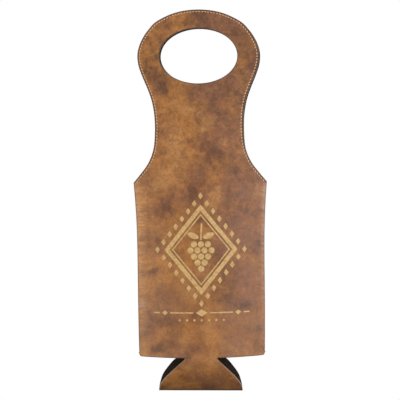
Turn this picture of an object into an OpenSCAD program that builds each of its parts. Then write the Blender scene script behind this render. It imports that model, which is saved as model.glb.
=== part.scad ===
// Carrier for one standard wine bottle: a flat sleeve of lined leatherette
// whose front and back panels run up into waisted handles with oval holes.
// X is the width, -Y the front, +Z up. The origin is the top inner edge of
// the oval hole, in the middle plane. Heights are measured from the base fold.

/* [Overall] */
// height from the base fold to the top of the handles
total_height = 368; // [350:390]
// height of the shoulder corners
shoulder_height = 201.5; // [190:215]
// height of the panels' bottom edge
bottom_edge = 34; // [30:40]
// half of the width at the shoulder corners
shoulder_half = 64.5; // [60:70]
// half of the width at the bottom corners
bottom_half = 60.7; // [57:64]
// radius of the bottom corners
corner_round = 3; // [1:6]

/* [Handles] */
// height of the bar above the hole, which the hand grips
grip_bar = 18.2; // [15:0.1:22]
// half of the width at the waist
waist_half = 42.5; // [38:0.5:48]
// height of the waist above the shoulders
waist_rise = 52.5; // [45:0.5:60]
// half of the width at the widest part, level with the middle of the hole
head_half = 58.8; // [55:0.1:63]
// half of the oval hole's width
hole_half_width = 37.4; // [34:0.1:41]
// half of the oval hole's height
hole_half_height = 26.8; // [24:0.1:29]

/* [Sheet] */
// thickness of the leatherette
leather = 1.2; // [0.8:0.1:1.6]
// thickness of the lining laminated to it
lining = 0.8; // [0.5:0.1:1.2]
// half of the width of the centre strip between the creases
crease_half = 27.8; // [24:32]
// depth of the creases' inner face at the bottom edge, from the middle plane
crease_depth_bottom = 16.1; // [13:18]
// the same at the top of the handles
crease_depth_top = 0.7; // [0.5:0.1:2]
// gap between the middle plane and each panel at the side seams
seam_gap = 0.1; // [0.05:0.05:0.3]

/* [Base] */
// half of the width of the necks that join the base to the panels
neck_half = 15.3; // [12:18]
// half of the length of the base fold
fold_half = 40.5; // [37:44]
// gap between the middle plane and each half of the base at the fold
fold_gap = 0.1; // [0.05:0.05:0.3]

/* [Seams and stitching] */
// distance of the topstitch from the edge
stitch_inset = 2.4; // [1.5:0.1:4]
// width of the row of stitches
stitch_width = 1; // [0.6:0.1:1.6]
// how far the stitches stand proud
stitch_proud = 0.4; // [0.2:0.1:0.8]
// width of the seam allowance turned to the inside
allowance_width = 6.5; // [5:0.5:9]
// distance of the allowance from the seam's outer edge
allowance_setback = 2.5; // [2.5:0.5:5]
// thickness of the allowance
allowance_thick = 0.8; // [0.5:0.1:0.8]

/* [Hidden] */

overrun = 1;
plies = leather + lining;
grip_height = total_height - grip_bar;
head_height = grip_height - hole_half_height;
waist_height = shoulder_height + waist_rise;
centre_cols = 12;
wing_cols = 8;
sheet_rows = 12;
base_cols = 16;
base_rows = 4;
curve_steps = 4;
hole_points = 48;
corner_points = 4;

// places along the edge between two named points: [across share, up share]
shoulder_shares = [[0.64, 0.18], [0.36, 0.335], [0.17, 0.5], [0.045, 0.7]];
flare_shares = [[0.04, 0.2], [0.19, 0.39], [0.43, 0.554], [0.72, 0.72], [0.935, 0.87]];
crown_shares = [[0.982, 0.169], [0.923, 0.362], [0.827, 0.554], [0.672, 0.747], [0.359, 0.94]];
// edges of the base halves from the fold to the neck: [across share, up share]
front_base_shares = [[1, 0], [0.945, 0.162], [0.885, 0.26], [0.704, 0.445], [0.292, 0.758],
    [0.004, 0.976]];
back_base_shares = [[1, 0], [0.964, 0.182], [0.856, 0.42], [0.625, 0.657], [0.425, 0.818],
    [0.18, 0.94]];

leather_colour = [0.6, 0.39, 0.25];
lining_colour = [0.09, 0.08, 0.07];
thread_colour = [0.84, 0.65, 0.45];

// the bulge of a panel: straight creases and seams, and a curve across them
function along(z) = (z - bottom_edge) / (total_height - bottom_edge);
function seam_x(z) = bottom_half + (shoulder_half - bottom_half)
    * (z - bottom_edge) / (shoulder_height - bottom_edge);
function crease_y(z) = crease_depth_bottom
    + (crease_depth_top - crease_depth_bottom) * along(z);
function bulge(z) = (crease_y(z) - seam_gap) / (1 - pow(crease_half / seam_x(z), 2));
function inner_y(x, z) = seam_gap + bulge(z) * (1 - pow(x / seam_x(z), 2));
function steepness(x, z) = 2 * bulge(z) * x / pow(seam_x(z), 2);
function ply_y(x, z, depth) = inner_y(x, z) + depth * sqrt(1 + pow(steepness(x, z), 2));

fold_angle = atan2(bottom_edge, inner_y(neck_half, bottom_edge));

// a closed sheet between two grids of points, the far one towards +Y
function cell(n, i, j, layer, rows) = layer * (n + 1) * (rows + 1) + j * (n + 1) + i;
module sheet(near, far, n, rows) {
    function a(i, j) = cell(n, i, j, 0, rows);
    function b(i, j) = cell(n, i, j, 1, rows);
    polyhedron(
        points = concat(near, far),
        faces = concat(
            [for (j = [0:rows - 1], i = [0:n - 1]) [b(i + 1, j + 1), b(i, j + 1), b(i, j)]],
            [for (j = [0:rows - 1], i = [0:n - 1]) [b(i + 1, j + 1), b(i, j), b(i + 1, j)]],
            [for (j = [0:rows - 1], i = [0:n - 1]) [a(i, j), a(i, j + 1), a(i + 1, j + 1)]],
            [for (j = [0:rows - 1], i = [0:n - 1]) [a(i + 1, j), a(i, j), a(i + 1, j + 1)]],
            [for (i = [0:n - 1]) [b(i + 1, 0), b(i, 0), a(i, 0)]],
            [for (i = [0:n - 1]) [b(i + 1, 0), a(i, 0), a(i + 1, 0)]],
            [for (i = [0:n - 1]) [b(i, rows), b(i + 1, rows), a(i + 1, rows)]],
            [for (i = [0:n - 1]) [b(i, rows), a(i + 1, rows), a(i, rows)]],
            [for (j = [0:rows - 1]) [b(0, j), b(0, j + 1), a(0, j + 1)]],
            [for (j = [0:rows - 1]) [b(0, j), a(0, j + 1), a(0, j)]],
            [for (j = [0:rows - 1]) [b(n, j + 1), b(n, j), a(n, j)]],
            [for (j = [0:rows - 1]) [b(n, j + 1), a(n, j), a(n, j + 1)]]
        )
    );
}

// one ply of a panel between two widths, from near to far off its inner face
module panel_sheet(from_x, to_x, cols, near, far) {
    low = bottom_edge - overrun;
    high = total_height + overrun;
    xs = [for (i = [0:cols]) from_x + (to_x - from_x) * i / cols];
    zs = [for (j = [0:sheet_rows]) low + (high - low) * j / sheet_rows];
    sheet([for (z = zs, x = xs) [x, ply_y(x, z, near), z]],
          [for (z = zs, x = xs) [x, ply_y(x, z, far), z]], cols, sheet_rows);
}

// the outline of a panel and its handle, flat in X and Z
function smooth(p, q, r, s, t) = ((2 * q) + (r - p) * t
    + (2 * p - 5 * q + 4 * r - s) * t * t + (3 * q - p - 3 * r + s) * t * t * t) / 2;
function flip(p) = [-p.x, p.y];
edge_marks = concat(
    [[shoulder_half, shoulder_height]],
    [for (s = shoulder_shares) [waist_half + (shoulder_half - waist_half) * s.x,
        shoulder_height + (waist_height - shoulder_height) * s.y]],
    [[waist_half, waist_height]],
    [for (s = flare_shares) [waist_half + (head_half - waist_half) * s.x,
        waist_height + (head_height - waist_height) * s.y]],
    [[head_half, head_height]],
    [for (s = crown_shares) [head_half * s.x,
        head_height + (total_height - head_height) * s.y]],
    [[0, total_height]]
);
last_mark = len(edge_marks) - 1;
function mark(i) = i < 0 ? 2 * edge_marks[0] - edge_marks[1]
    : i > last_mark ? flip(edge_marks[2 * last_mark - i]) : edge_marks[i];
handle_edge = [for (i = [0:last_mark - 1], k = [0:curve_steps - 1])
    smooth(mark(i - 1), mark(i), mark(i + 1), mark(i + 2), k / curve_steps)];
corner_edge = [for (k = [0:corner_points]) let (a = 90 * k / corner_points - 90)
    [seam_x(bottom_edge + corner_round) - corner_round + corner_round * cos(a),
     bottom_edge + corner_round + corner_round * sin(a)]];
right_edge = concat(corner_edge, handle_edge);

module panel_outline() {
    polygon(concat(right_edge, [[0, total_height]],
        [for (i = [len(right_edge) - 1:-1:0]) flip(right_edge[i])]));
}

module handle_hole() {
    polygon([for (k = [0:hole_points - 1]) let (a = 360 * k / hole_points)
        [hole_half_width * cos(a), head_height + hole_half_height * sin(a)]]);
}

module stitch_band() {
    intersection() {
        difference() {
            offset(delta = -stitch_inset) panel_outline();
            offset(delta = -stitch_inset - stitch_width) panel_outline();
        }
        translate([-shoulder_half, shoulder_height])
            square([2 * shoulder_half, total_height - shoulder_height]);
    }
}

module allowance_band() {
    polygon([for (e = [[bottom_edge + corner_round, 0], [shoulder_height - corner_round, 0],
        [shoulder_height - corner_round, 1], [bottom_edge + corner_round, 1]])
        [seam_x(e[0]) - allowance_setback - allowance_width * e[1], e[0]]]);
}

// keeps what lies inside a flat shape of X and Z
module punch() {
    reach = crease_depth_bottom + bottom_edge;
    intersection() {
        children(0);
        rotate([90, 0, 0]) linear_extrude(2 * reach, center = true) children(1);
    }
}

module centre_ply(near, far) {
    panel_sheet(-crease_half, crease_half, centre_cols, near, far);
}

module wing_ply(near, far) {
    panel_sheet(crease_half, seam_x(total_height) + overrun, wing_cols, near, far);
}

module cut_panel() {
    difference() {
        panel_outline();
        handle_hole();
    }
}

// the centre strip lies below the hole, and the grip is the part above it
module centre_panel(near, far) {
    punch() { centre_ply(near, far); intersection() {
        cut_panel();
        translate([-crease_half, 0]) square([2 * crease_half, head_height]);
    } }
}

module grip_panel(near, far) {
    punch() { centre_ply(near, far); intersection() {
        cut_panel();
        translate([-crease_half, head_height])
            square([2 * crease_half, total_height - head_height]);
    } }
}

module wing_panel(near, far) {
    punch() { wing_ply(near, far); cut_panel(); }
}

module centre_stitch() {
    punch() { centre_ply(plies, plies + stitch_proud); stitch_band(); }
}

module wing_stitch() {
    punch() { wing_ply(plies, plies + stitch_proud); stitch_band(); }
}

module wing_allowance() {
    punch() { wing_ply(-allowance_thick, 0); allowance_band(); }
}

// half of the base, sloping from the neck down to the fold
module base_ply(near, far, shares) {
    xs = [for (i = [0:base_cols]) fold_half * (2 * i / base_cols - 1)];
    steps = [for (j = [0:base_rows]) 1 - j / base_rows];
    outward = [0, sin(fold_angle), -cos(fold_angle)];
    function outer(x, s) = [x,
        (inner_y(x, bottom_edge) + plies * outward.y) * (1 - s) + fold_gap * s,
        (bottom_edge + plies * outward.z) * (1 - s)];
    intersection() {
        sheet([for (s = steps, x = xs) outer(x, s) + (near - plies) * outward],
              [for (s = steps, x = xs) outer(x, s) + (far - plies) * outward],
              base_cols, base_rows);
        translate([-fold_half, fold_gap, 0])
            cube([2 * fold_half, crease_depth_bottom + bottom_edge, bottom_edge + overrun]);
        rotate([90, 0, 0]) linear_extrude(2 * (crease_depth_bottom + bottom_edge), center = true)
            base_outline(shares);
    }
}

module base_outline(shares) {
    side = concat([for (s = shares) [neck_half + (fold_half - neck_half) * s.x,
        bottom_edge * s.y]], [[neck_half, bottom_edge + overrun]]);
    polygon(concat(side, [for (i = [len(side) - 1:-1:0]) flip(side[i])]));
}

// what faces the front is the mirror of what faces the back
module place(front = false, left = false) {
    translate([0, 0, -grip_height])
        mirror([0, front ? 1 : 0, 0]) mirror([left ? 1 : 0, 0, 0]) children();
}

module front_panel_centre() { color(leather_colour) place(front = true) centre_panel(lining, plies); }
module front_panel_left() { color(leather_colour) place(front = true, left = true) wing_panel(lining, plies); }
module front_panel_right() { color(leather_colour) place(front = true) wing_panel(lining, plies); }
module back_panel_centre() { color(leather_colour) place() centre_panel(lining, plies); }
module back_panel_left() { color(leather_colour) place(left = true) wing_panel(lining, plies); }
module back_panel_right() { color(leather_colour) place() wing_panel(lining, plies); }

module front_grip_panel() { color(leather_colour) place(front = true) grip_panel(lining, plies); }
module back_grip_panel() { color(leather_colour) place() grip_panel(lining, plies); }

module front_lining_centre() { color(lining_colour) place(front = true) centre_panel(0, lining); }
module front_lining_left() { color(lining_colour) place(front = true, left = true) wing_panel(0, lining); }
module front_lining_right() { color(lining_colour) place(front = true) wing_panel(0, lining); }
module back_lining_centre() { color(lining_colour) place() centre_panel(0, lining); }
module back_lining_left() { color(lining_colour) place(left = true) wing_panel(0, lining); }
module back_lining_right() { color(lining_colour) place() wing_panel(0, lining); }
module front_grip_lining() { color(lining_colour) place(front = true) grip_panel(0, lining); }
module back_grip_lining() { color(lining_colour) place() grip_panel(0, lining); }

module base_front_panel() { color(leather_colour) place(front = true) base_ply(lining, plies, front_base_shares); }
module base_back_panel() { color(leather_colour) place() base_ply(lining, plies, back_base_shares); }
module base_front_lining() { color(lining_colour) place(front = true) base_ply(0, lining, front_base_shares); }
module base_back_lining() { color(lining_colour) place() base_ply(0, lining, back_base_shares); }

module front_topstitch_centre() { color(thread_colour) place(front = true) centre_stitch(); }
module front_topstitch_left() { color(thread_colour) place(front = true, left = true) wing_stitch(); }
module front_topstitch_right() { color(thread_colour) place(front = true) wing_stitch(); }
module back_topstitch_centre() { color(thread_colour) place() centre_stitch(); }
module back_topstitch_left() { color(thread_colour) place(left = true) wing_stitch(); }
module back_topstitch_right() { color(thread_colour) place() wing_stitch(); }

module front_allowance_left() { color(leather_colour) place(front = true, left = true) wing_allowance(); }
module front_allowance_right() { color(leather_colour) place(front = true) wing_allowance(); }
module back_allowance_left() { color(leather_colour) place(left = true) wing_allowance(); }
module back_allowance_right() { color(leather_colour) place() wing_allowance(); }

front_panel_centre();
front_panel_left();
front_panel_right();
back_panel_centre();
back_panel_left();
back_panel_right();
front_grip_panel();
back_grip_panel();
front_lining_centre();
front_lining_left();
front_lining_right();
back_lining_centre();
back_lining_left();
back_lining_right();
front_grip_lining();
back_grip_lining();
base_front_panel();
base_back_panel();
base_front_lining();
base_back_lining();
front_topstitch_centre();
front_topstitch_left();
front_topstitch_right();
back_topstitch_centre();
back_topstitch_left();
back_topstitch_right();
front_allowance_left();
front_allowance_right();
back_allowance_left();
back_allowance_right();
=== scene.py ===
import math

import bmesh
import bpy
from mathutils import Matrix, Vector, noise
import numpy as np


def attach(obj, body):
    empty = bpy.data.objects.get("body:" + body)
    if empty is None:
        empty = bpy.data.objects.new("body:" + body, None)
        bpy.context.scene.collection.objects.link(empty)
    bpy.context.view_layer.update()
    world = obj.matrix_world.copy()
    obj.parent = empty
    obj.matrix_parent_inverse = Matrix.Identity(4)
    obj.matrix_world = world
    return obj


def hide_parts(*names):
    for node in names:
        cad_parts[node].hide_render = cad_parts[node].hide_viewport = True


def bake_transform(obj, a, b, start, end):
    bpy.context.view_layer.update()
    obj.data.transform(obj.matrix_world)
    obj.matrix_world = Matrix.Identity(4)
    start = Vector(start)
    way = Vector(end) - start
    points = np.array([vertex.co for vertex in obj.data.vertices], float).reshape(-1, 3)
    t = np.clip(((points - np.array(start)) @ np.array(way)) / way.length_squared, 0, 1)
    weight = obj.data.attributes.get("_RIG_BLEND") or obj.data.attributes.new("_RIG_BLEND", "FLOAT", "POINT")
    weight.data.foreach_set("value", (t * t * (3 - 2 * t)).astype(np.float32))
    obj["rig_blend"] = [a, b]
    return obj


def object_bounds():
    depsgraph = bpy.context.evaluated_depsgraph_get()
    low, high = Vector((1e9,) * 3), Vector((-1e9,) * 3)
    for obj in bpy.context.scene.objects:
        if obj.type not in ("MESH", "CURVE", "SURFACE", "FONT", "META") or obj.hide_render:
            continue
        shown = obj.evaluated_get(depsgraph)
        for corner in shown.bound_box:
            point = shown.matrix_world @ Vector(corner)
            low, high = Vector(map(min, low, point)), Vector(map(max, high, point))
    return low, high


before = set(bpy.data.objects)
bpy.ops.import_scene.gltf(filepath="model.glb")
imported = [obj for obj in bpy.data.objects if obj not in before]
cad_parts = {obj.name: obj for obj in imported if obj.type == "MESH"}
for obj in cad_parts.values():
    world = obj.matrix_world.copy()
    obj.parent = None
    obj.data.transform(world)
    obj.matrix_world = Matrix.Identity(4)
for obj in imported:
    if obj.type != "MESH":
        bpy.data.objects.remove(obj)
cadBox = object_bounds()
print("frame loaded")

mm = 0.001
foldZ = cadBox[0].z  # the base fold is the lowest line of the frame
front = -1
back = 1

# the sheet is cut and bent as the frame is: mm, with heights from the base fold
cut = {
    "totalHeight": 368.0,
    "shoulderHeight": 201.5,
    "bottomEdge": 34.0,
    "shoulderHalf": 64.5,
    "bottomHalf": 60.7,
    "cornerRound": 2.3,
    "waistHalf": 42.5,
    "waistHeight": 254.0,
    "headHalf": 58.8,
    "headHeight": 323.0,
    "holeHalfWidth": 37.7,
    "holeHalfHeight": 26.8,
    "neckHalf": 15.3,
    "foldHalf": 40.5,
    "creaseHalf": 27.8,
    "creaseLow": 16.1,
    "creaseHigh": 0.7,
    "seamGap": 0.1,
    "liningThick": 0.8,
    "leatherThick": 1.2,
    "shoulderShares": [(0.64, 0.18), (0.36, 0.335), (0.17, 0.5), (0.045, 0.7)],
    "flareShares": [(0.04, 0.2), (0.19, 0.39), (0.43, 0.554), (0.72, 0.72), (0.935, 0.87)],
    "crownShares": [(0.982, 0.169), (0.923, 0.362), (0.827, 0.554), (0.672, 0.757), (0.359, 0.94)],
    "frontBaseShares": [
        (1, 0), (0.945, 0.162), (0.885, 0.26), (0.704, 0.445), (0.292, 0.758), (0.004, 0.976),
    ],
    "backBaseShares": [
        (1, 0), (0.964, 0.182), (0.856, 0.42), (0.625, 0.657), (0.425, 0.818), (0.18, 0.94),
    ],
}
plies = cut["liningThick"] + cut["leatherThick"]

# how the finished sheet lies: mm, with the tilts in degrees
lie = {
    "rollWidth": 4.5,  # the turned side seam rounds over this far
    "rollFade": 3.0,  # and its roll ends over this height at the shoulder
    "edgeRound": 0.35,
    "seamTouch": 0.03,
    "seamSlack": 0.03,  # the short straight stretches of the cut lie up to this far inside the seam
    "grooveDepth": 0.16,  # the thread pulls the leather in
    "grooveWidth": 0.8,
    "grooveFade": 1.0,  # below the shoulder, where the stitching starts
    "edgeSlack": 0.05,  # an edge that is nearer than the seam by more than this is a cut one
    "holeReach": 1.3,  # what lies this near the hole, as a share of its size, belongs to its rim
    "thinEdge": 1.9,  # how much narrower the dark edge is where nothing is stitched; along the side seams this dark line is painted shade, where the turned seam rolls away from the light
    "bareEdge": 6.0,  # the same on the base, whose edges are cut and left
    "backingShows": 0.4,  # from the edge of the base, where the leatherette is worn off its backing
    # a panel is softly uneven all over, and puckered beside the seams
    "rippleHeight": 0.45,
    "rippleLength": 46.0,
    "rippleFade": 14.0,
    "rippleSeed": 7.3,
    "puckerHeight": 0.22,
    "puckerLength": 9.0,
    "puckerAcross": 0.3,
    "puckerStart": 2.0,
    "puckerReach": 8.0,
    "puckerFade": 10.0,
    "puckerSeed": 3.1,
    "seamBow": 1.6,  # the seams draw in where the sleeve bulges, and end straight
    "handleShift": {front: (-0.6, 0.35), back: (0.7, 0.4)},  # the handles hang a little apart
    "shiftLow": 205.0,
    "shiftHigh": 260.0,
    "bendStart": 16.0,  # from the middle, where a crease starts and ends
    "bendEnd": 39.6,
    "neckBend": 13.0,
    "baseAside": -1.0,  # the base hangs a little to the left, and its fold dips to the right
    "baseTilt": 1.0,
    "foldSlope": 50.0,  # how far the base would spread over its height, at the fold and at the neck
    "neckSlope": -1.6,
    "foldTilt": 0.8,
    "foldLip": 1.0,  # the front half runs on round the fold, so that it stays shut when the base opens
    "lipLength": 1.5,
    "tiltReach": 10.0,
}

# how finely the flat sheet is divided before it is bent: mm
grid = {
    "rings": [0.12, 0.36, 0.72, 1.2, 1.8, 2.4, 2.9],
    "foldRows": [0.35, 0.8, 1.4, 2.2],
    "liningSetback": 0.15,
    "liningSeam": 2.4,  # the lining stops this far short of the side seams
    "liningRim": 1.6,  # and of the handle's edge
    "cornerSteps": 6,
    "seamSteps": 10,
    "holeSteps": 36,
    "column": 2.0,
    "middle": 0.3,
    "row": 4.0,
    "stub": 7.0,
    "curveSteps": 8,
    "arcSteps": 40,
    "sharpAngle": 38.0,
}


def ramp(t):
    t = max(0.0, min(1.0, t))
    return t * t * (3 - 2 * t)


def quarter(t):
    t = max(0.0, min(1.0, t))
    return math.sqrt(1 - (1 - t) ** 2)


def seamX(z):
    share = (z - cut["bottomEdge"]) / (cut["shoulderHeight"] - cut["bottomEdge"])
    straight = cut["bottomHalf"] + (cut["shoulderHalf"] - cut["bottomHalf"]) * share
    return straight - lie["seamBow"] * math.sin(math.pi * max(0.0, min(1.0, share)) ** 2)


def creaseY(z):
    share = (z - cut["bottomEdge"]) / (cut["totalHeight"] - cut["bottomEdge"])
    return cut["creaseLow"] + (cut["creaseHigh"] - cut["creaseLow"]) * share


def sheetY(x, z, depth):
    bulge = (creaseY(z) - cut["seamGap"]) / (1 - (cut["creaseHalf"] / seamX(z)) ** 2)
    steepness = 2 * bulge * x / seamX(z) ** 2
    return cut["seamGap"] + bulge * (1 - (x / seamX(z)) ** 2) + depth * math.hypot(1, steepness)


def ripple(side, x, z):
    # a soft unevenness that dies out at the seams and at the neck
    toSeam = max(0.0, seamX(z) - abs(x))
    toNeck = math.hypot(max(0.0, abs(x) - cut["neckHalf"]), z - cut["bottomEdge"])
    step = lie["rippleLength"]
    wave = noise.noise(Vector((x / step, lie["rippleSeed"] * side, z / step))) * lie["rippleHeight"]
    wave *= ramp(toSeam / lie["rippleFade"]) * ramp(toNeck / lie["rippleFade"])
    spot = Vector((lie["puckerSeed"] * side, lie["puckerAcross"] * x, z / lie["puckerLength"]))
    pucker = noise.noise(spot) * lie["puckerHeight"]
    pucker *= math.exp(-toSeam / lie["puckerReach"]) * ramp(toSeam / lie["puckerStart"])
    pucker *= ramp((cut["shoulderHeight"] - z) / lie["puckerFade"])
    return wave + pucker


def skinPoint(side, x, z, depth):
    # a point of the flat sheet, in its place on the bent panel, in metres
    toSeam = seamX(z) - abs(x) - lie["seamSlack"]
    inset = plies - depth
    roll = quarter((toSeam - inset) / (lie["rollWidth"] - inset))
    rollShare = ramp((cut["shoulderHeight"] + lie["rollFade"] / 2 - z) / lie["rollFade"])
    y = sheetY(abs(x), z, depth) + ripple(side, x, z)
    y *= 1 - rollShare * (1 - roll)
    y = max(y, lie["seamTouch"] * (1 + depth / plies))
    hang = ramp((z - lie["shiftLow"]) / (lie["shiftHigh"] - lie["shiftLow"]))
    x += lie["handleShift"][side][0] * hang
    z += lie["handleShift"][side][1] * hang
    return Vector((x, side * y, z)) * mm + Vector((0, 0, foldZ))


def baseY(x, h, depth):
    # the base leaves the neck nearly upright and curves in to the fold; h is 0 there and 1 at the neck
    top = sheetY(x, cut["bottomEdge"], depth)
    y = (h ** 3 - 2 * h ** 2 + h) * lie["foldSlope"] + (3 * h ** 2 - 2 * h ** 3) * top
    return y + (h ** 3 - h ** 2) * lie["neckSlope"]


def basePoint(side, x, z, depth):
    lip = min(0.0, z) * lie["lipLength"] / lie["foldLip"]
    z = max(0.0, z)
    h = z / cut["bottomEdge"]
    step = 0.01
    rise = (baseY(x, h + step, plies) - baseY(x, h - step, plies)) / (2 * step * cut["bottomEdge"])
    length = math.hypot(1, rise)
    inset = plies - depth
    y = baseY(x, h, plies) - inset / length
    y = max(y, lie["seamTouch"] * (1 + depth / plies)) + lip
    drop = x * math.tan(math.radians(lie["foldTilt"]))
    drop *= ramp((cut["bottomEdge"] - z) / lie["tiltReach"])
    x += (z - cut["bottomEdge"]) * math.tan(math.radians(lie["baseTilt"]))
    z += inset * rise / length - drop
    return Vector((x, side * y, z)) * mm + Vector((0, 0, foldZ))


def unrolled(z):
    # height of a base point when the sheet is laid flat
    if z >= cut["bottomEdge"]:
        return z
    steps = grid["arcSteps"]
    heights = [z + (cut["bottomEdge"] - z) * k / steps for k in range(steps + 1)]
    places = [Vector((baseY(0, height / cut["bottomEdge"], plies), height)) for height in heights]
    return cut["bottomEdge"] - sum((b - a).length for a, b in zip(places, places[1:]))


def curveThrough(marks, after):
    marks = [marks[0] * 2 - marks[1], *marks, after]
    points = []
    for p, q, r, s in zip(marks, marks[1:], marks[2:], marks[3:]):
        for k in range(grid["curveSteps"]):
            t = k / grid["curveSteps"]
            bend = (2 * p - 5 * q + 4 * r - s) * t ** 2 + (3 * q - p - 3 * r + s) * t ** 3
            points.append((2 * q + (r - p) * t + bend) / 2)
    return points


def between(low, high, shares):
    return [Vector((low.x + (high.x - low.x) * a, low.y + (high.y - low.y) * b)) for a, b in shares]


def handleEdge():
    # right edge of the handle, from the shoulder corner to the top
    shoulder = Vector((cut["shoulderHalf"], cut["shoulderHeight"]))
    waist = Vector((cut["waistHalf"], cut["waistHeight"]))
    head = Vector((cut["headHalf"], cut["headHeight"]))
    top = Vector((0, cut["totalHeight"]))
    flare = between(Vector((waist.x, shoulder.y)), Vector((shoulder.x, waist.y)), cut["shoulderShares"])
    marks = [shoulder, *flare, waist, *between(waist, head, cut["flareShares"]), head]
    marks += between(Vector((0, head.y)), Vector((head.x, top.y)), cut["crownShares"]) + [top]
    return curveThrough(marks, Vector((-marks[-2].x, marks[-2].y))) + [top]


def movedIn(distance):
    # the handle's edge, moved in over its whole length
    edge = handleEdge()
    moved = []
    for a, b in zip(edge, edge[1:]):
        along = (b - a).normalized()
        moved.append((a + b) / 2 + Vector((-along.y, along.x)) * distance)
    return moved + [Vector((0, cut["totalHeight"] - distance))]


def panelOutline(seamInset=0, rimInset=0):
    low = cut["bottomEdge"]
    corner = cut["cornerRound"]
    cornerX = seamX(low + corner) - corner - seamInset
    points = [Vector((0, low - grid["stub"])), Vector((cut["neckHalf"], low - grid["stub"]))]
    points.append(Vector((cut["neckHalf"], low)))
    for k in range(grid["cornerSteps"] + 1):
        a = math.radians(90 * k / grid["cornerSteps"] - 90)
        points.append(Vector((cornerX + corner * math.cos(a), low + corner + corner * math.sin(a))))
    for k in range(1, grid["seamSteps"]):
        z = low + corner + (cut["shoulderHeight"] - low - corner) * k / grid["seamSteps"]
        points.append(Vector((seamX(z) - seamInset, z)))
    edge = movedIn(rimInset) if rimInset else handleEdge()
    points += [p for p in edge if p.x <= cut["shoulderHalf"] - seamInset]
    for k in range(grid["holeSteps"] + 1):
        a = math.radians(90 - 180 * k / grid["holeSteps"])
        height = cut["headHeight"] + cut["holeHalfHeight"] * math.sin(a)
        points.append(Vector((cut["holeHalfWidth"] * math.cos(a), height)))
    points[-1].x = 0
    return points


def baseOutline(shares):
    low = Vector((cut["neckHalf"], 0))
    marks = between(low, Vector((cut["foldHalf"], cut["bottomEdge"])), shares)
    side = curveThrough(marks, Vector((cut["neckHalf"], cut["bottomEdge"] + 1)))
    side.append(marks[-1])
    below = [Vector((p.x, -p.y)) for p in reversed(side) if 0 < p.y < grid["stub"]]
    top = cut["bottomEdge"] + grid["stub"]
    bottom = Vector((0, below[0].y))
    return [bottom, *below, *side, Vector((cut["neckHalf"], top)), Vector((0, top))]


def trim(bm, point, normal, keepAbove=None):
    # a cut along a plane; keepAbove says which side of it stays
    bmesh.ops.bisect_plane(
        bm,
        geom=bm.verts[:] + bm.edges[:] + bm.faces[:],
        dist=0.0005,
        plane_co=point,
        plane_no=normal,
        clear_inner=keepAbove is True,
        clear_outer=keepAbove is False,
    )


def divide(bm, column, row):
    reach = max(abs(v.co.x) for v in bm.verts)
    low = min(v.co.z for v in bm.verts)
    high = max(v.co.z for v in bm.verts)
    places = [grid["middle"]] + [column * k for k in range(1, int(reach / column) + 1)]
    for place in places:
        trim(bm, (place, 0, 0), (1, 0, 0))
        trim(bm, (-place, 0, 0), (1, 0, 0))
    height = row * math.ceil(low / row)
    while height < high:
        trim(bm, (0, 0, height), (0, 0, 1))
        height += row


def drawnFlat(outline):
    # the right half is drawn and mirrored
    bm = bmesh.new()
    bm.verts.layers.float.new("edgeGap")
    bm.faces.new([bm.verts.new((p.x, 0, p.y)) for p in outline])
    bmesh.ops.mirror(bm, geom=bm.verts[:] + bm.edges[:] + bm.faces[:], axis="X", merge_dist=0.001)
    bmesh.ops.recalc_face_normals(bm, faces=bm.faces[:])
    bm.normal_update()
    return bm


def flatSheet(outline, backingShows=0):
    # rings run along every edge, and edgeGap keeps how far from it they are
    bm = drawnFlat(outline)
    edgeGap = bm.verts.layers.float["edgeGap"]
    inner = bm.faces[:]
    reached = 0.0
    for ring in grid["rings"]:
        added = bmesh.ops.inset_region(
            bm, faces=inner, thickness=ring - reached, use_boundary=True, use_even_offset=True
        )
        for f in added["faces"]:
            f.material_index = int(ring <= backingShows)
        reached = ring
        for v in {v for f in inner for v in f.verts}:
            v[edgeGap] = ring
    return bm


def plainSheet(outline, distance):
    # a lining, cut a little smaller than its leather
    bm = drawnFlat(outline)
    rim = bmesh.ops.inset_region(
        bm, faces=bm.faces[:], thickness=distance, use_boundary=True, use_even_offset=True
    )
    bmesh.ops.delete(bm, geom=rim["faces"], context="FACES")
    return bm


# where the print of the front is darker, or paler below nought: x, height, reach each way, how much
clouds = [
    (8, 359, 14, 7, 0.12), (-44, 349, 12, 11, -0.12), (42, 345, 12, 9, 0.06), (50, 318, 8, 18, 0.1),
    (-45, 306, 9, 8, 0.2), (-34, 295, 10, 9, 0.1), (12, 284, 9, 6, 0.06), (38, 280, 6, 9, 0.16),
    (-15, 274, 9, 7, -0.16), (4, 257, 8, 11, -0.32), (-10, 252, 6, 6, 0.08), (-25, 234, 8, 19, -0.26),
    (12, 232, 8, 6, 0.14), (10, 221, 14, 8, 0.1), (-33, 205, 16, 9, -0.16), (-8, 193, 7, 7, 0.22),
    (-34, 174, 12, 6, 0.16), (-52, 188, 7, 9, -0.1), (12, 186, 6, 10, -0.24), (-42, 145, 6, 6, 0.1),
    (-46, 114, 6, 5, 0.12), (32, 88, 12, 7, 0.12), (-14, 98, 12, 12, -0.14), (-57, 85, 6, 7, -0.16),
    (-38, 62, 12, 14, 0.12), (-40, 40, 14, 10, 0.06), (8, 66, 8, 16, -0.14), (-18, 50, 8, 7, -0.12),
    # the cloud at (0, 26) is painted light: it makes the top of the base paler than its lower part, where
    # less light falls
    (0, 26, 20, 14, -0.16), (-45, 332, 8, 10, 0.16), (-30, 350, 8, 5, 0.1), (28, 290, 10, 9, 0.1),
    (25, 264, 8, 12, 0.08), (28, 192, 9, 7, 0.1),
]
cloudBreak = (9.0, 7.0)  # mm: how fine and how far their outlines are broken up
grainApart = 200.0  # mm: keeps the grain of the front and of the back from being alike


def cloudAt(side, x, z):
    x *= -side  # the back has them the other way round
    push = noise.noise_vector(Vector((x, 0, z)) / cloudBreak[0]) * cloudBreak[1]
    x += push.x
    z += push.z
    return sum(
        much * math.exp(-((x - middle) / wide) ** 2 - ((z - height) / high) ** 2)
        for middle, height, wide, high, much in clouds
    )


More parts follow.
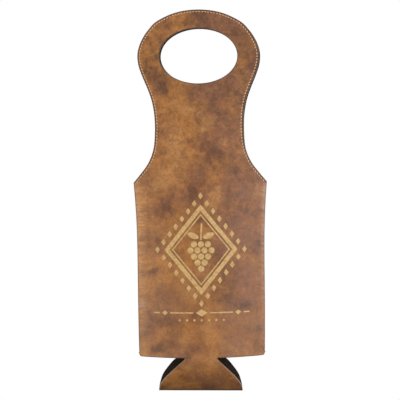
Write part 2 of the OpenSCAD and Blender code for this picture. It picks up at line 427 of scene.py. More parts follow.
def bendSheet(bm, side, hand, place):
    # gives the flat cut its wall and bends it; hand keeps one half, and 0 keeps both
    bm = bm.copy()
    away = [f for f in bm.faces if f.calc_center_median().x * hand < 0]
    bmesh.ops.delete(bm, geom=away, context="FACES")
    grown = bmesh.ops.extrude_face_region(bm, geom=bm.faces[:])["geom"]
    outer = [g for g in grown if isinstance(g, bmesh.types.BMVert)]
    bmesh.ops.translate(bm, verts=outer, vec=(0, 1, 0))
    grain = bm.verts.layers.float_vector.new("grain")
    cloud = bm.verts.layers.float.new("cloud")
    edgeGap = bm.verts.layers.float["edgeGap"]
    for v in bm.verts:
        x, y, z = v.co
        v[grain] = Vector((x, grainApart * side, unrolled(z))) * mm
        v[cloud] = cloudAt(side, x, z)
        v.co = place(side, x, z, y > 0.5, v[edgeGap])
    bmesh.ops.recalc_face_normals(bm, faces=bm.faces[:])
    return bm


def finishPiece(name, bm, material, rim=None):
    edgeGap = bm.verts.layers.float.get("edgeGap")
    for f in bm.faces:
        f.smooth = True
        if rim is None:
            f.material_index = 0
        elif all(v[edgeGap] == 0 for v in f.verts):
            f.material_index = 1
    for e in bm.edges:
        e.smooth = e.calc_face_angle(0) < math.radians(grid["sharpAngle"])
    mesh = bpy.data.meshes.new(name)
    bm.to_mesh(mesh)
    bm.free()
    mesh.materials.append(material)
    if rim:
        mesh.materials.append(rim)
    piece = bpy.data.objects.new(name, mesh)
    bpy.context.scene.collection.objects.link(piece)
    return piece


def isCutEdge(x, z, gap):
    # the side seams are turned, and every other edge is cut
    return z > cut["shoulderHeight"] or gap < seamX(z) - abs(x) - lie["edgeSlack"]


def byHole(x, z):
    reach = math.hypot(x / cut["holeHalfWidth"], (z - cut["headHeight"]) / cut["holeHalfHeight"])
    return reach < lie["holeReach"]


def worn(gap):
    # how much is rounded off a cut edge
    return lie["edgeRound"] * (1 - quarter(gap / lie["edgeRound"]))


def leatherPlace(side, x, z, outer, gap):
    depth = plies if outer else cut["liningThick"]
    if outer and isCutEdge(x, z, gap):
        depth -= worn(gap)
    stitched = (z - cut["shoulderHeight"]) / lie["grooveFade"] + 1
    if outer and stitched > 0 and not byHole(x, z):
        pull = ((gap - thread["inset"]) / lie["grooveWidth"]) ** 2
        depth -= lie["grooveDepth"] * math.exp(-pull) * ramp(stitched)
    return skinPoint(side, x, z, depth)


def liningPlace(side, x, z, outer, gap):
    return skinPoint(side, x, z, cut["liningThick"] if outer else 0)


def baseLeatherPlace(side, x, z, outer, gap):
    return basePoint(side, x, z, plies - worn(gap) if outer else cut["liningThick"])


def baseLiningPlace(side, x, z, outer, gap):
    return basePoint(side, x, z, cut["liningThick"] if outer else 0)


# Colours and nodes


def linear(code):
    values = [int(code[k:k + 2], 16) / 255 for k in (1, 3, 5)]
    return [v / 12.92 if v <= 0.04045 else ((v + 0.055) / 1.055) ** 2.4 for v in values] + [1]


def addNode(tree, kind, settings={}, links={}):
    node = tree.nodes.new(kind)
    for name, value in settings.items():
        if name == "stops":
            while len(node.color_ramp.elements) < len(value):
                node.color_ramp.elements.new(0.5)
            for element, (position, code) in zip(node.color_ramp.elements, value):
                element.position = position
                element.color = linear(code)
        elif isinstance(name, str) and hasattr(node, name):
            setattr(node, name, value)
        else:
            node.inputs[name].default_value = value
    for name, source in links.items():
        tree.links.new(source, node.inputs[name])
    return node


def newMaterial(name):
    material = bpy.data.materials.new(name)
    material.use_nodes = True
    material.node_tree.nodes.clear()
    return material, material.node_tree


leather = {
    # what each noise is for: mm across, detail and roughness
    "noises": {
        "hue": (34.0, 4, 0.55),
        "blotch": (15.0, 6, 0.65),
        "mottle": (4.5, 5, 0.75),
        "speck": (1.7, 3, 0.7),
    },
    "warmLeft": -2.0,  # the colour turns warmer towards the left, as a share of the hue noise to a metre
    "blotchShare": 0.8,
    "contrast": (60.0, 250.0, 1.05, 2.1),  # the mottle is stronger up the handles: heights and shares
    "ground": [(0.37, "#87593C"), (0.5, "#905E35"), (0.62, "#A86F39")],  # rose, brown and amber
    "dark": "#5A3722",
    "rubbed": "#B07B47",
    # what lies over the ground, in this order: its noise, from, to, how strong, and its colour
    "overlays": [
        ("blotch", 0.37, 0.2, 0.75, "rubbed"),
        ("blotch", 0.41, 0.57, 0.8, "dark"),
        ("speck", 0.52, 0.7, 0.5, "dark"),
    ],
    "seamSheenAndRub": (54.0, 63.0, 0.95),  # painted sheen and rub along the side seams: mm from the middle, and how pale
    "seamSheenTone": [(0.4, "#B0866C"), (0.52, "#B07B47")],  # the colour of that painted sheen and rub: rose to tan, as the ground is
    "sheenAndRubCentre": 3.0,  # the left seam gets more of the painted sheen and rub
    "sheenAndRubHeights": [(0.05, "#BCBCBC"), (0.12, "#FFFFFF"), (0.195, "#FFFFFF"), (0.2015, "#000000")],
    # fine level creases beside the side seams, which break up the band of painted sheen and rub; they are
    # raised, and also painted as light and dark streaks
    "creases": {"length": 16.0, "height": 2.6, "reach": (38.0, 60.0, 0.9), "breakUp": 3.5},
    "handleShade": (235.0, 300.0, 0.87),  # painted shade: the handles are darker towards the top: heights, and how dark
    "edge": "#523A2B",
    "edgeBand": (1.1, 1.9, 0.85),  # mm from the edge where its dark band starts to fade and ends
    "foldShade": (1.1, 0.25),  # the fold is dark as an edge is, and fades upwards by this share
    "roughness": (0.42, 0.62),
    "pebble": 0.9,
    "pebbleSmooth": 0.6,
    "speckRelief": 0.6,
    "relief": (0.5, 0.00018),
}


def leatherMaterial():
    # polyurethane leatherette, printed in clouds of brown and embossed with a fine pebble, which gives a
    # soft broken sheen and a rustic, rubbed look; a sheen with some rub along the side seams, light and dark
    # streaks on the creases there, and shade up the handles are painted into its colour
    material, tree = newMaterial("mottledLeatherette")
    grain = addNode(tree, "ShaderNodeAttribute", {"attribute_name": "grain"}).outputs["Vector"]
    gap = addNode(tree, "ShaderNodeAttribute", {"attribute_name": "edgeGap"}).outputs["Fac"]
    noises = {}
    for name, (size, detail, roughness) in leather["noises"].items():
        settings = {"Scale": 1000 / size, "Detail": detail, "Roughness": roughness}
        noises[name] = addNode(tree, "ShaderNodeTexNoise", settings, {"Vector": grain}).outputs["Fac"]
    cloud = addNode(tree, "ShaderNodeAttribute", {"attribute_name": "cloud"}).outputs["Fac"]
    noises["blotch"] = addNode(
        tree, "ShaderNodeMath", {"operation": "MULTIPLY_ADD", 1: leather["blotchShare"]},
        {0: noises["blotch"], 2: cloud},
    ).outputs[0]
    across = addNode(tree, "ShaderNodeSeparateXYZ", {}, {"Vector": grain})
    warmth = addNode(
        tree, "ShaderNodeMath", {"operation": "MULTIPLY_ADD", 1: leather["warmLeft"]},
        {0: across.outputs["X"], 2: noises["hue"]},
    )
    colour = addNode(
        tree, "ShaderNodeValToRGB", {"stops": leather["ground"]}, {"Fac": warmth.outputs[0]}
    ).outputs["Color"]
    for name, low, high, most, tone in leather["overlays"]:
        share = addNode(
            tree, "ShaderNodeMapRange",
            {"From Min": low, "From Max": high, "To Min": 0, "To Max": most},
            {"Value": noises[name]},
        )
        colour = addNode(
            tree, "ShaderNodeMix", {"data_type": "RGBA", 7: linear(leather[tone])},
            {0: share.outputs[0], 6: colour},
        ).outputs[2]
    # painted sheen, with some rub, in a band along the side seams; its colour follows the warmth of the
    # ground
    seamSheenTone = addNode(
        tree, "ShaderNodeValToRGB", {"stops": leather["seamSheenTone"]}, {"Fac": warmth.outputs[0]}
    ).outputs["Color"]
    start, end, most = leather["seamSheenAndRub"]
    shifted = addNode(
        tree, "ShaderNodeMath", {"operation": "SUBTRACT", 1: leather["sheenAndRubCentre"] * mm},
        {0: across.outputs["X"]},
    )
    outward = addNode(tree, "ShaderNodeMath", {"operation": "ABSOLUTE"}, {0: shifted.outputs[0]})
    sheenAndRub = addNode(
        tree, "ShaderNodeMapRange", {"From Min": start * mm, "From Max": end * mm, "To Max": most},
        {"Value": outward.outputs[0]},
    )
    upTheSeam = addNode(
        tree, "ShaderNodeValToRGB", {"stops": leather["sheenAndRubHeights"]}, {"Fac": across.outputs["Z"]}
    )
    sheenAndRub = addNode(
        tree, "ShaderNodeMath", {"operation": "MULTIPLY"}, {0: sheenAndRub.outputs[0], 1: upTheSeam.outputs[0]}
    )
    fine = leather["creases"]
    stretched = addNode(
        tree, "ShaderNodeVectorMath",
        {"operation": "MULTIPLY", 1: (fine["height"] / fine["length"], 1, 1)}, {0: grain},
    )
    creases = addNode(
        tree, "ShaderNodeTexNoise", {"Scale": 1000 / fine["height"], "Detail": 3, "Roughness": 0.6},
        {"Vector": stretched.outputs[0]},
    )
    wisps = addNode(
        tree, "ShaderNodeMath", {"operation": "SUBTRACT", 1: 0.5}, {0: creases.outputs["Fac"]}
    )
    start, end, most = fine["reach"]
    crumple = addNode(
        tree, "ShaderNodeMapRange", {"From Min": start * mm, "From Max": end * mm, "To Max": most},
        {"Value": outward.outputs[0]},
    )
    crumple = addNode(
        tree, "ShaderNodeMath", {"operation": "MULTIPLY"},
        {0: crumple.outputs[0], 1: upTheSeam.outputs[0]},
    )
    broken = addNode(
        tree, "ShaderNodeMath", {"operation": "MULTIPLY_ADD", 1: fine["breakUp"], 2: 1.0},
        {0: wisps.outputs[0]},
    )
    sheenAndRub = addNode(
        tree, "ShaderNodeMath", {"operation": "MULTIPLY"}, {0: sheenAndRub.outputs[0], 1: broken.outputs[0]}
    )
    colour = addNode(
        tree, "ShaderNodeMix", {"data_type": "RGBA"}, {0: sheenAndRub.outputs[0], 6: colour, 7: seamSheenTone}
    ).outputs[2]
    low, high, least, most = leather["contrast"]
    contrast = addNode(
        tree, "ShaderNodeMapRange",
        {"From Min": low * mm, "From Max": high * mm, "To Min": least, "To Max": most},
        {"Value": across.outputs["Z"]},
    )
    offset = addNode(tree, "ShaderNodeMath", {"operation": "SUBTRACT", 1: 0.5}, {0: noises["mottle"]})
    level = addNode(
        tree, "ShaderNodeMath", {"operation": "MULTIPLY_ADD", 2: 1.0},
        {0: offset.outputs[0], 1: contrast.outputs[0]},
    )
    # painted highlight and shade of the creases: they streak the colour lighter and darker
    level = addNode(
        tree, "ShaderNodeMath", {"operation": "MULTIPLY_ADD"},
        {0: wisps.outputs[0], 1: crumple.outputs[0], 2: level.outputs[0]},
    )
    # painted shade, darkening the colour up the handles
    start, end, most = leather["handleShade"]
    handleShade = addNode(
        tree, "ShaderNodeMapRange",
        {"From Min": start * mm, "From Max": end * mm, "To Min": 1, "To Max": most},
        {"Value": across.outputs["Z"]},
    )
    level = addNode(
        tree, "ShaderNodeMath", {"operation": "MULTIPLY"}, {0: level.outputs[0], 1: handleShade.outputs[0]}
    )
    toned = addNode(
        tree, "ShaderNodeHueSaturation", {}, {"Color": colour, "Value": level.outputs[0]}
    )
    start, end, most = leather["edgeBand"]
    edgeShare = addNode(
        tree, "ShaderNodeMapRange", {"From Min": start, "From Max": end, "To Min": most, "To Max": 0},
        {"Value": gap},
    )
    finished = addNode(
        tree, "ShaderNodeMix", {"data_type": "RGBA", 7: linear(leather["edge"])},
        {0: edgeShare.outputs[0], 6: toned.outputs[0]},
    )
    pebble = addNode(
        tree, "ShaderNodeTexVoronoi",
        {"feature": "SMOOTH_F1", "Scale": 1000 / leather["pebble"],
         "Smoothness": leather["pebbleSmooth"]},
        {"Vector": grain},
    )
    relief = addNode(
        tree, "ShaderNodeMath", {"operation": "MULTIPLY_ADD", 1: leather["speckRelief"]},
        {0: noises["speck"], 2: pebble.outputs["Distance"]},
    )
    relief = addNode(
        tree, "ShaderNodeMath", {"operation": "MULTIPLY_ADD"},
        {0: wisps.outputs[0], 1: crumple.outputs[0], 2: relief.outputs[0]},
    )
    strength, height = leather["relief"]
    bump = addNode(
        tree, "ShaderNodeBump", {"Strength": strength, "Distance": height},
        {"Height": relief.outputs[0]},
    )
    smooth, dull = leather["roughness"]
    rough = addNode(
        tree, "ShaderNodeMapRange",
        {"From Min": 0.3, "From Max": 0.7, "To Min": smooth, "To Max": dull},
        {"Value": noises["mottle"]},
    )
    shader = addNode(
        tree, "ShaderNodeBsdfPrincipled", {"IOR": 1.48, "Specular IOR Level": 0.35},
        {"Base Color": finished.outputs[2], "Roughness": rough.outputs[0], "Normal": bump.outputs[0]},
    )
    addNode(tree, "ShaderNodeOutputMaterial", {}, {"Surface": shader.outputs[0]})
    return material


cutEdge = {"weave": 0.5, "dark": "#836D5D", "light": "#AC9280"}


def cutEdgeMaterial():
    # the knitted backing that shows where the leatherette is cut: a dull grey-tan, fuzzy line
    material, tree = newMaterial("cutBacking")
    place = addNode(tree, "ShaderNodeTexCoord").outputs["Object"]
    knit = addNode(
        tree, "ShaderNodeTexNoise", {"Scale": 1000 / cutEdge["weave"], "Detail": 3}, {"Vector": place}
    )
    colour = addNode(
        tree, "ShaderNodeValToRGB",
        {"stops": [(0.35, cutEdge["dark"]), (0.65, cutEdge["light"])]},
        {"Fac": knit.outputs["Fac"]},
    )
    shader = addNode(
        tree, "ShaderNodeBsdfPrincipled", {"Roughness": 0.9, "Specular IOR Level": 0.2},
        {"Base Color": colour.outputs["Color"]},
    )
    addNode(tree, "ShaderNodeOutputMaterial", {}, {"Surface": shader.outputs[0]})
    return material


lining = {"weave": 0.7, "dark": "#2A2119", "light": "#43372C"}


def liningMaterial():
    # brushed polyester felt laminated to the leatherette: nearly black, with no shine
    material, tree = newMaterial("blackFeltLining")
    place = addNode(tree, "ShaderNodeTexCoord").outputs["Object"]
    fibre = addNode(
        tree, "ShaderNodeTexNoise",
        {"Scale": 1000 / lining["weave"], "Detail": 4, "Roughness": 0.7},
        {"Vector": place},
    )
    colour = addNode(
        tree, "ShaderNodeValToRGB",
        {"stops": [(0.35, lining["dark"]), (0.65, lining["light"])]},
        {"Fac": fibre.outputs["Fac"]},
    )
    bump = addNode(
        tree, "ShaderNodeBump", {"Strength": 0.6, "Distance": 0.0002}, {"Height": fibre.outputs["Fac"]}
    )
    shader = addNode(
        tree, "ShaderNodeBsdfPrincipled",
        {"Roughness": 0.95, "Specular IOR Level": 0.15},
        {"Base Color": colour.outputs["Color"], "Normal": bump.outputs[0]},
    )
    addNode(tree, "ShaderNodeOutputMaterial", {}, {"Surface": shader.outputs[0]})
    return material


# the stitches, and dark discs of painted shade for their needle holes: mm
thread = {
    "inset": 2.0,
    "pitch": 2.9,
    "length": 2.35,
    "width": 0.95,
    "height": 0.6,
    "slant": 12.0,
    "proud": 0.06,
    "hole": 0.5,
    "holeOut": 0.85,
    "holeTaper": 0.8,
    "holeDepth": 0.1,
    "holeProud": 0.02,
    "light": "#E8BC90",
    "dark": "#BC8C60",
}


def threadMaterial():
    # waxed polyester sewing thread, twisted, so that each stitch has a fine slanting rib
    material, tree = newMaterial("waxedThread")
    place = addNode(tree, "ShaderNodeTexCoord").outputs["Object"]
    twist = addNode(
        tree, "ShaderNodeTexWave",
        {"Scale": 900, "Distortion": 1.5, "bands_direction": "DIAGONAL"},
        {"Vector": place},
    )
    colour = addNode(
        tree, "ShaderNodeValToRGB",
        {"stops": [(0.2, thread["dark"]), (0.7, thread["light"])]},
        {"Fac": twist.outputs["Fac"]},
    )
    bump = addNode(
        tree, "ShaderNodeBump", {"Strength": 0.4, "Distance": 0.0001}, {"Height": twist.outputs["Fac"]}
    )
    shader = addNode(
        tree, "ShaderNodeBsdfPrincipled", {"Roughness": 0.5},
        {"Base Color": colour.outputs["Color"], "Normal": bump.outputs[0]},
    )
    addNode(tree, "ShaderNodeOutputMaterial", {}, {"Surface": shader.outputs[0]})
    return material


foil = {"wear": 2.4, "dark": "#B48F58", "light": "#D3AF76"}


def foilMaterial():
    # the ground that the engraving lays bare: a matt, faintly worn gold
    material, tree = newMaterial("mattGold")
    grain = addNode(tree, "ShaderNodeAttribute", {"attribute_name": "grain"}).outputs["Vector"]
    wear = addNode(
        tree, "ShaderNodeTexNoise", {"Scale": 1000 / foil["wear"], "Detail": 5, "Roughness": 0.65},
        {"Vector": grain},
    )
    colour = addNode(
        tree, "ShaderNodeValToRGB",
        {"stops": [(0.35, foil["dark"]), (0.6, foil["light"])]},
        {"Fac": wear.outputs["Fac"]},
    )
    bump = addNode(
        tree, "ShaderNodeBump", {"Strength": 0.3, "Distance": 0.0001}, {"Height": wear.outputs["Fac"]}
    )
    shader = addNode(
        tree, "ShaderNodeBsdfPrincipled", {"Roughness": 0.6, "Specular IOR Level": 0.3},
        {"Base Color": colour.outputs["Color"], "Normal": bump.outputs[0]},
    )
    addNode(tree, "ShaderNodeOutputMaterial", {}, {"Surface": shader.outputs[0]})
    return material


def holeShadeMaterial():
    # painted shade: a near-black disc stands for the shade inside a needle hole
    material, tree = newMaterial("needleHoleShade")
    shader = addNode(
        tree, "ShaderNodeBsdfPrincipled", {"Base Color": linear("#1D120B"), "Roughness": 0.9}
    )
    addNode(tree, "ShaderNodeOutputMaterial", {}, {"Surface": shader.outputs[0]})
    return material


mottledLeather = leatherMaterial()
cutBacking = cutEdgeMaterial()
blackLining = liningMaterial()
waxedThread = threadMaterial()
mattGold = foilMaterial()
needleHoleShade = holeShadeMaterial()
print("materials made")

# Panels with their handles

handNames = {-1: "left", 1: "right"}
sideNames = {front: "front", back: "back"}


def bendWith(piece, side, hand):
    # the middle stays with the centre strip, and the outer part turns with the wing
    name = sideNames[side]
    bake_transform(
        piece, f"{name}_centre", f"{name}_{handNames[hand]}_wing",
        start=(hand * lie["bendStart"] * mm, 0, 0), end=(hand * lie["bendEnd"] * mm, 0, 0),
    )


panelCut = flatSheet(panelOutline())
trim(panelCut, (0, 0, cut["bottomEdge"]), (0, 0, 1), keepAbove=True)
divide(panelCut, grid["column"], grid["row"])
edgeGap = panelCut.verts.layers.float["edgeGap"]
for v in panelCut.verts:
    if v.co.z < cut["shoulderHeight"] or byHole(v.co.x, v.co.z):
        v[edgeGap] *= lie["thinEdge"]

liningCut = plainSheet(panelOutline(grid["liningSeam"], grid["liningRim"]), grid["liningSetback"])
trim(liningCut, (0, 0, cut["bottomEdge"]), (0, 0, 1), keepAbove=True)
divide(liningCut, grid["column"], 2 * grid["row"])
print("sheet cut:", len(panelCut.faces), "faces")

for side in (front, back):
    for hand in (-1, 1):
        name = sideNames[side]
        tail = handNames[hand]
        skin = bendSheet(panelCut, side, hand, leatherPlace)
        skin = finishPiece(f"{name}_leather_{tail}", skin, mottledLeather, cutBacking)
        bendWith(skin, side, hand)
        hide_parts(f"{name}_panel_{tail}", f"{name}_panel_centre", f"{name}_grip_panel")
        felt = bendSheet(liningCut, side, hand, liningPlace)
        felt = finishPiece(f"{name}_felt_{tail}", felt, blackLining)
        bendWith(felt, side, hand)
        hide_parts(f"{name}_lining_{tail}", f"{name}_lining_centre", f"{name}_grip_lining")
print("panels bent")

# Base, in two halves that meet at the fold

neckZ = foldZ + cut["bottomEdge"] * mm

for side, shares in ((front, "frontBaseShares"), (back, "backBaseShares")):
    name = sideNames[side]
    outline = baseOutline(cut[shares])
    outside = flatSheet(outline, lie["backingShows"])
    inside = plainSheet(outline, grid["liningSetback"])
    for kind, node, flat, place, material, rim in (
        ("leather", "panel", outside, baseLeatherPlace, mottledLeather, cutBacking),
        ("felt", "lining", inside, baseLiningPlace, blackLining, None),
    ):
        bmesh.ops.translate(flat, verts=flat.verts, vec=(lie["baseAside"], 0, 0))
        trim(flat, (0, 0, cut["bottomEdge"]), (0, 0, 1), keepAbove=False)
        lip = lie["foldLip"] if side == front and kind == "leather" else 0
        trim(flat, (0, 0, -lip), (0, 0, 1), keepAbove=True)
        for height in [0.0, *grid["foldRows"]]:
            trim(flat, (0, 0, height), (0, 0, 1))
        divide(flat, grid["column"], grid["row"] / 2)
        edgeGap = flat.verts.layers.float["edgeGap"]
        for v in flat.verts:
            shade = leather["foldShade"][0] + leather["foldShade"][1] * max(0.0, v.co.z)
            v[edgeGap] = min(v[edgeGap] * lie["bareEdge"], shade)
        half = finishPiece(f"base_{name}_{kind}", bendSheet(flat, side, 0, place), material, rim)
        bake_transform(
            half, f"{name}_centre", f"base_{name}",
            start=(0, 0, neckZ), end=(0, 0, neckZ - lie["neckBend"] * mm),
        )
        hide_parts(f"base_{name}_{node}")
print("base bent")

# Seam allowances, turned to the inside

allowance = {
    "width": 6.5,
    "setback": 2.5,  # from the outside of the seam
    "thick": 0.7,
    "clear": 3.0,  # of the ends of the seam
    "fold": 2.0,  # how far from the seam it closes
    "turn": 0.6,  # it bends with the seam's joint over this far each way
    "edgeGap": 0.9,  # as dark as a cut edge
}


def allowancePlace(side, x, z, outer, gap):
    # x runs in from the seam, to the front one way and to the back the other, and closes between
    deep = 0 if outer else allowance["thick"]
    shut = quarter(abs(x) / allowance["fold"])
    toSeam = allowance["setback"] + abs(x) + deep * (1 - shut)
    point = skinPoint(back if x > 0 else front, side * (seamX(z) - toSeam), z, -deep)
    point.y *= shut
    return point


def allowanceStrip(hand, start, end):
    strip = bmesh.new()
    edgeGap = strip.verts.layers.float.new("edgeGap")
    low = cut["bottomEdge"] + allowance["clear"]
    high = cut["shoulderHeight"] - allowance["clear"]
    corners = ((start, low), (end, low), (end, high), (start, high))
    strip.faces.new([strip.verts.new((x, 0, z)) for x, z in corners])
    for v in strip.verts:
        v[edgeGap] = allowance["edgeGap"]
    divide(strip, grid["column"] / 2, grid["row"])
    return bendSheet(strip, hand, 0, allowancePlace)


# the joint of the left seam turns both of its allowances, which are one piece there
wide = allowance["width"]
leftEdge = finishPiece("turned_edge_left", allowanceStrip(-1, -wide, wide), mottledLeather)
turn = allowance["turn"] * mm
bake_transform(leftEdge, "back_left_wing", "front_left_wing", start=(0, turn, 0), end=(0, -turn, 0))
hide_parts("back_allowance_left", "front_allowance_left")
for side in (front, back):
    name = sideNames[side]
    ends = sorted((0.0, side * wide))
    strip = finishPiece(f"{name}_turned_edge_right", allowanceStrip(1, *ends), mottledLeather)
    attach(strip, f"{name}_right_wing")
    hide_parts(f"{name}_allowance_right")
print("allowances made")

# Topstitch along the handles


def stitchLine():
    # the handle's edge moved in, walked from the top to the shoulder in equal steps
    line = movedIn(thread["inset"])[::-1]
    walked = thread["pitch"] / 2
    marks = []
    for a, b in zip(line, line[1:]):
        length = (b - a).length
        while walked <= length:
            marks.append((a + (b - a) * walked / length, (b - a).normalized()))
            walked += thread["pitch"]
        walked -= length
    return marks


def stitchFrame(side, hand, spot, along, proud):
    # place and turn of a stitch on the leather
    reach = 0.3
    across = Vector((along.y, -along.x))
    depth = plies - lie["grooveDepth"] + proud

    def skinAt(p):
        return skinPoint(side, hand * p.x, p.y, depth)

    forward = (skinAt(spot + along * reach) - skinAt(spot - along * reach)).normalized()
    sideways = (skinAt(spot + across * reach) - skinAt(spot - across * reach)).normalized()
    up = forward.cross(sideways).normalized()
    turned = Matrix((forward, up.cross(forward), up)).transposed().to_4x4()
    return Matrix.Translation(skinAt(spot)) @ turned


halves = [thread[part] / 2 * mm for part in ("length", "width", "height")]
size = Matrix.Diagonal((*halves, 1))
slant = Matrix.Rotation(math.radians(thread["slant"]), 4, "Z")

for side in (front, back):
    for hand in (-1, 1):
        seam = bmesh.new()
        holes = bmesh.new()
        for spot, along in stitchLine():
            at = stitchFrame(side, hand, spot, along, thread["proud"])
            bmesh.ops.create_uvsphere(
                seam, u_segments=8, v_segments=6, radius=1, matrix=at @ slant @ size
            )
            gap = spot + along * thread["pitch"] / 2 + Vector((-along.y, along.x)) * thread["holeOut"]
            at = stitchFrame(side, hand, gap, along, thread["holeProud"])
            bmesh.ops.create_cone(
                holes, cap_ends=True, segments=8, radius1=thread["hole"] * mm,
                radius2=thread["hole"] * thread["holeTaper"] * mm, depth=thread["holeDepth"] * mm,
                matrix=at,
            )
        for kind, made, material in (
            ("topstitch", seam, waxedThread),
            ("needle_hole_shade", holes, needleHoleShade),
        ):
            bmesh.ops.recalc_face_normals(made, faces=made.faces[:])
            name = sideNames[side]
            tail = handNames[hand]
            piece = finishPiece(f"{name}_{kind}_run_{tail}", made, material)
            bendWith(piece, side, hand)
            if kind == "topstitch":
                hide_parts(f"{name}_topstitch_{tail}", f"{name}_topstitch_centre")
print("stitches sewn")

# Engraved emblem on the front: a grape bunch in a lozenge, over a rule

# mm, with heights from the base fold and the bunch, leaves and stem from the lozenge's middle
emblem = {
    "height": 137.0,
    "size": (35.0, 43.0),
    "lines": [(0.0, 3.9), (5.6, 1.2)],  # how far in each line starts, and its width
    "beadGap": 5.2,
    "beads": 7,
    "bead": (2.3, 3.3),
    "bunch": [3, 4, 3, 2, 1],
    "bunchTop": 5.0,
    "grape": 3.0,
    "spacing": (6.7, 5.8),
    "leaf": [(1.8, 11.0), (13.0, 15.5), 5.6],  # from, to, and how wide
    "stem": (9.0, 25.0, 1.6),
    "ruleHeight": 77.0,
    "rules": [(8.0, 30.0), (40.0, 46.0)],
    "ruleWidth": 1.3,
    "ruleDiamonds": [(0.0, 5.6, 3.4), (35.0, 3.0, 2.2)],
    "dotHeight": 70.0,
    "dots": [0.0, 7.0, 14.0, 21.0],
    "dot": 1.4,
    "sink": 0.05,
    "proud": 0.07,
}


def diamond(x, z, wide, high):
    return [Vector((x + a * wide, z + b * high)) for a, b in ((1, 0), (0, 1), (-1, 0), (0, -1))]


def lozenge(inset):
    # the lozenge's corners when its sides move in
    wide, high = emblem["size"]
    side = math.hypot(wide, high)
    return diamond(0, emblem["height"], wide - inset * side / high, high - inset * side / wide)


def disc(x, z, radius):
    turns = [math.radians(15 * k) for k in range(24)]
    return [Vector((x + radius * math.sin(a), z + radius * math.cos(a))) for a in turns]


def leafShape(hand):
    # a pointed oval, bent up from the stem
    start, end, wide = emblem["leaf"]
    start = Vector((hand * start[0], emblem["height"] + start[1]))
    end = Vector((hand * end[0], emblem["height"] + end[1]))
    along = end - start
    across = Vector((-along.y, along.x)).normalized() * wide / 2
    turns = [math.pi * k / 8 for k in range(8)]
    over = [start + along * (1 - math.cos(a)) / 2 + across * math.sin(a) ** 1.5 for a in turns]
    under = [end - along * (1 - math.cos(a)) / 2 - across * math.sin(a) ** 1.5 for a in turns]
    return over + under


def bar(x0, x1, z, width):
    return [Vector((x0, z - width / 2)), Vector((x1, z - width / 2)),
            Vector((x1, z + width / 2)), Vector((x0, z + width / 2))]


def emblemShapes():
    middle = emblem["height"]
    shapes = []
    for inset, width in emblem["lines"]:
        outer = lozenge(inset)
        inner = lozenge(inset + width)
        for k in range(4):
            shapes.append([outer[k], outer[k - 1], inner[k - 1], inner[k]])
    border = lozenge(-emblem["beadGap"])
    for k in range(4):
        for n in range(emblem["beads"]):
            spot = border[k] + (border[k - 1] - border[k]) * n / emblem["beads"]
            shapes.append(diamond(spot.x, spot.y, *emblem["bead"]))
    for row, count in enumerate(emblem["bunch"]):
        z = middle + emblem["bunchTop"] - row * emblem["spacing"][1]
        for n in range(count):
            shapes.append(disc((n - (count - 1) / 2) * emblem["spacing"][0], z, emblem["grape"]))
    low, high, width = emblem["stem"]
    shapes.append([Vector((x, middle + z)) for x, z in (
        (-width / 2, low), (width / 2, low), (width, high), (0, high))])
    for hand in (-1, 1):
        shapes.append(leafShape(hand))
        for start, end in emblem["rules"]:
            shapes.append(bar(hand * start, hand * end, emblem["ruleHeight"], emblem["ruleWidth"]))
        for x, wide, high in emblem["ruleDiamonds"]:
            if hand > 0 or x > 0:
                shapes.append(diamond(hand * x, emblem["ruleHeight"], wide, high))
        for x in emblem["dots"]:
            if hand > 0 or x > 0:
                shapes.append(diamond(hand * x, emblem["dotHeight"], emblem["dot"], emblem["dot"]))
    return shapes


def emblemPlace(side, x, z, outer, gap):
    return skinPoint(side, x, z, plies + (emblem["proud"] if outer else -emblem["sink"]))


emblemCut = bmesh.new()
emblemCut.verts.layers.float.new("edgeGap")
for shape in emblemShapes():
    emblemCut.faces.new([emblemCut.verts.new((p.x, 0, p.y)) for p in shape])
bmesh.ops.triangulate(emblemCut, faces=emblemCut.faces[:])
bmesh.ops.recalc_face_normals(emblemCut, faces=emblemCut.faces[:])
trim(emblemCut, (0, 0, 0), (1, 0, 0))
divide(emblemCut, grid["column"], grid["row"])
for hand in (-1, 1):
    mark = bendSheet(emblemCut, front, hand, emblemPlace)
    mark = finishPiece(f"front_emblem_{handNames[hand]}", mark, mattGold)
    bendWith(mark, front, hand)
print("emblem engraved")

# Light, floor and camera

studio = {
    "floorDrop": 0.5,
    "floorSize": 8.0,
    "floorColour": "#D9D9D7",
    "floorBounce": "#6A6A69",  # the floor as the lamps see it, so that little light comes from below
    "floorGlow": 0.6,
    "ambient": 0.3,
    "clearFrom": 0.35,  # m from the bag, where the floor starts to fade to plain white
    "clearAt": 0.9,
    "lamps": [
        # place, size and power: soft boxes in front, above, at the sides and behind
        ((0.95, -1.3, 0.15), 0.8, 11),
        ((-1.1, -1.1, 0.1), 0.8, 5.5),
        ((0.0, -0.5, 1.3), 0.8, 1.5),
        ((1.3, -0.35, 0.0), 0.7, 11),
        ((-1.3, -0.4, 0.0), 0.7, 9),
        ((-0.9, 1.4, 0.2), 0.8, 10),
        ((0.9, 1.4, 0.1), 0.8, 6),
    ],
}

world = bpy.data.worlds.new("studio")
bpy.context.scene.world = world
world.use_nodes = True
world.node_tree.nodes.clear()
rays = addNode(world.node_tree, "ShaderNodeLightPath")
seen = addNode(
    world.node_tree, "ShaderNodeMath", {"operation": "MAXIMUM"},
    {0: rays.outputs["Is Camera Ray"], 1: rays.outputs["Is Glossy Ray"]},
)
seen = addNode(
    world.node_tree, "ShaderNodeMath", {"operation": "MAXIMUM"},
    {0: seen.outputs[0], 1: rays.outputs["Is Transmission Ray"]},
)
strength = addNode(
    world.node_tree, "ShaderNodeMapRange", {"To Min": studio["ambient"], "To Max": 1},
    {"Value": seen.outputs[0]},
)
sky = addNode(
    world.node_tree, "ShaderNodeBackground", {"Color": (1, 1, 1, 1)}, {"Strength": strength.outputs[0]}
)
addNode(world.node_tree, "ShaderNodeOutputWorld", {}, {"Surface": sky.outputs[0]})

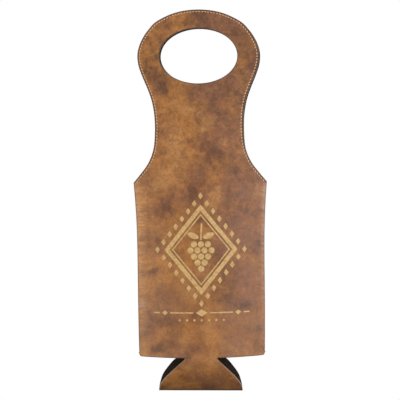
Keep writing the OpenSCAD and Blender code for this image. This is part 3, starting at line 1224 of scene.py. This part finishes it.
floorMaterial, tree = newMaterial("paleFloor")
rays = addNode(tree, "ShaderNodeLightPath")
pale = addNode(tree, "ShaderNodeBsdfDiffuse", {"Color": linear(studio["floorColour"])})
bounce = addNode(tree, "ShaderNodeBsdfDiffuse", {"Color": linear(studio["floorBounce"])})
glow = addNode(tree, "ShaderNodeEmission", {"Color": (1, 1, 1, 1), "Strength": studio["floorGlow"]})
lifted = addNode(tree, "ShaderNodeAddShader", {}, {0: pale.outputs[0], 1: glow.outputs[0]})
white = addNode(tree, "ShaderNodeEmission", {"Color": (1, 1, 1, 1), "Strength": 1})
place = addNode(tree, "ShaderNodeTexCoord").outputs["Object"]
level = addNode(tree, "ShaderNodeVectorMath", {"operation": "MULTIPLY", 1: (1, 1, 0)}, {0: place})
away = addNode(tree, "ShaderNodeVectorMath", {"operation": "LENGTH"}, {0: level.outputs[0]})
farShare = addNode(
    tree, "ShaderNodeMapRange",
    {"interpolation_type": "SMOOTHSTEP", "From Min": studio["clearFrom"],
     "From Max": studio["clearAt"]},
    {"Value": away.outputs["Value"]},
)
shown = addNode(
    tree, "ShaderNodeMixShader", {}, {0: farShare.outputs[0], 1: lifted.outputs[0], 2: white.outputs[0]}
)
chosen = addNode(
    tree, "ShaderNodeMixShader", {},
    {0: rays.outputs["Is Camera Ray"], 1: bounce.outputs[0], 2: shown.outputs[0]},
)
addNode(tree, "ShaderNodeOutputMaterial", {}, {"Surface": chosen.outputs[0]})
ground = bmesh.new()
bmesh.ops.create_grid(ground, x_segments=1, y_segments=1, size=studio["floorSize"] / 2)
bmesh.ops.translate(ground, verts=ground.verts, vec=(0, 0, foldZ - studio["floorDrop"]))
finishPiece("floor", ground, floorMaterial)

for place, size, power in studio["lamps"]:
    lamp = bpy.data.lights.new("softBox", "AREA")
    lamp.size = size
    lamp.energy = power
    lampObject = bpy.data.objects.new("softBox", lamp)
    lampObject.location = Vector(place) + Vector((0, 0, foldZ / 2))
    aim = Vector((0, 0, foldZ / 2)) - lampObject.location
    lampObject.rotation_euler = aim.to_track_quat("-Z", "Y").to_euler()
    bpy.context.scene.collection.objects.link(lampObject)

shot = {
    "sensor": 36.0,
    "distance": 1.1,
    "height": 184.3,  # mm above the fold
    "aside": -0.39,
    "viewWidth": 387.2,  # mm across the picture at the bag
    "lean": 0.64,
}
camera = bpy.data.cameras.new("camera")
camera.sensor_width = shot["sensor"]
camera.lens = shot["sensor"] * shot["distance"] / (shot["viewWidth"] * mm)
cameraObject = bpy.data.objects.new("camera", camera)
cameraObject.location = (shot["aside"] * mm, -shot["distance"], foldZ + shot["height"] * mm)
cameraObject.rotation_euler = (math.radians(90), math.radians(shot["lean"]), 0)
bpy.context.scene.collection.objects.link(cameraObject)
bpy.context.scene.camera = cameraObject
bpy.context.scene.view_settings.view_transform = "Standard"
print("studio set")
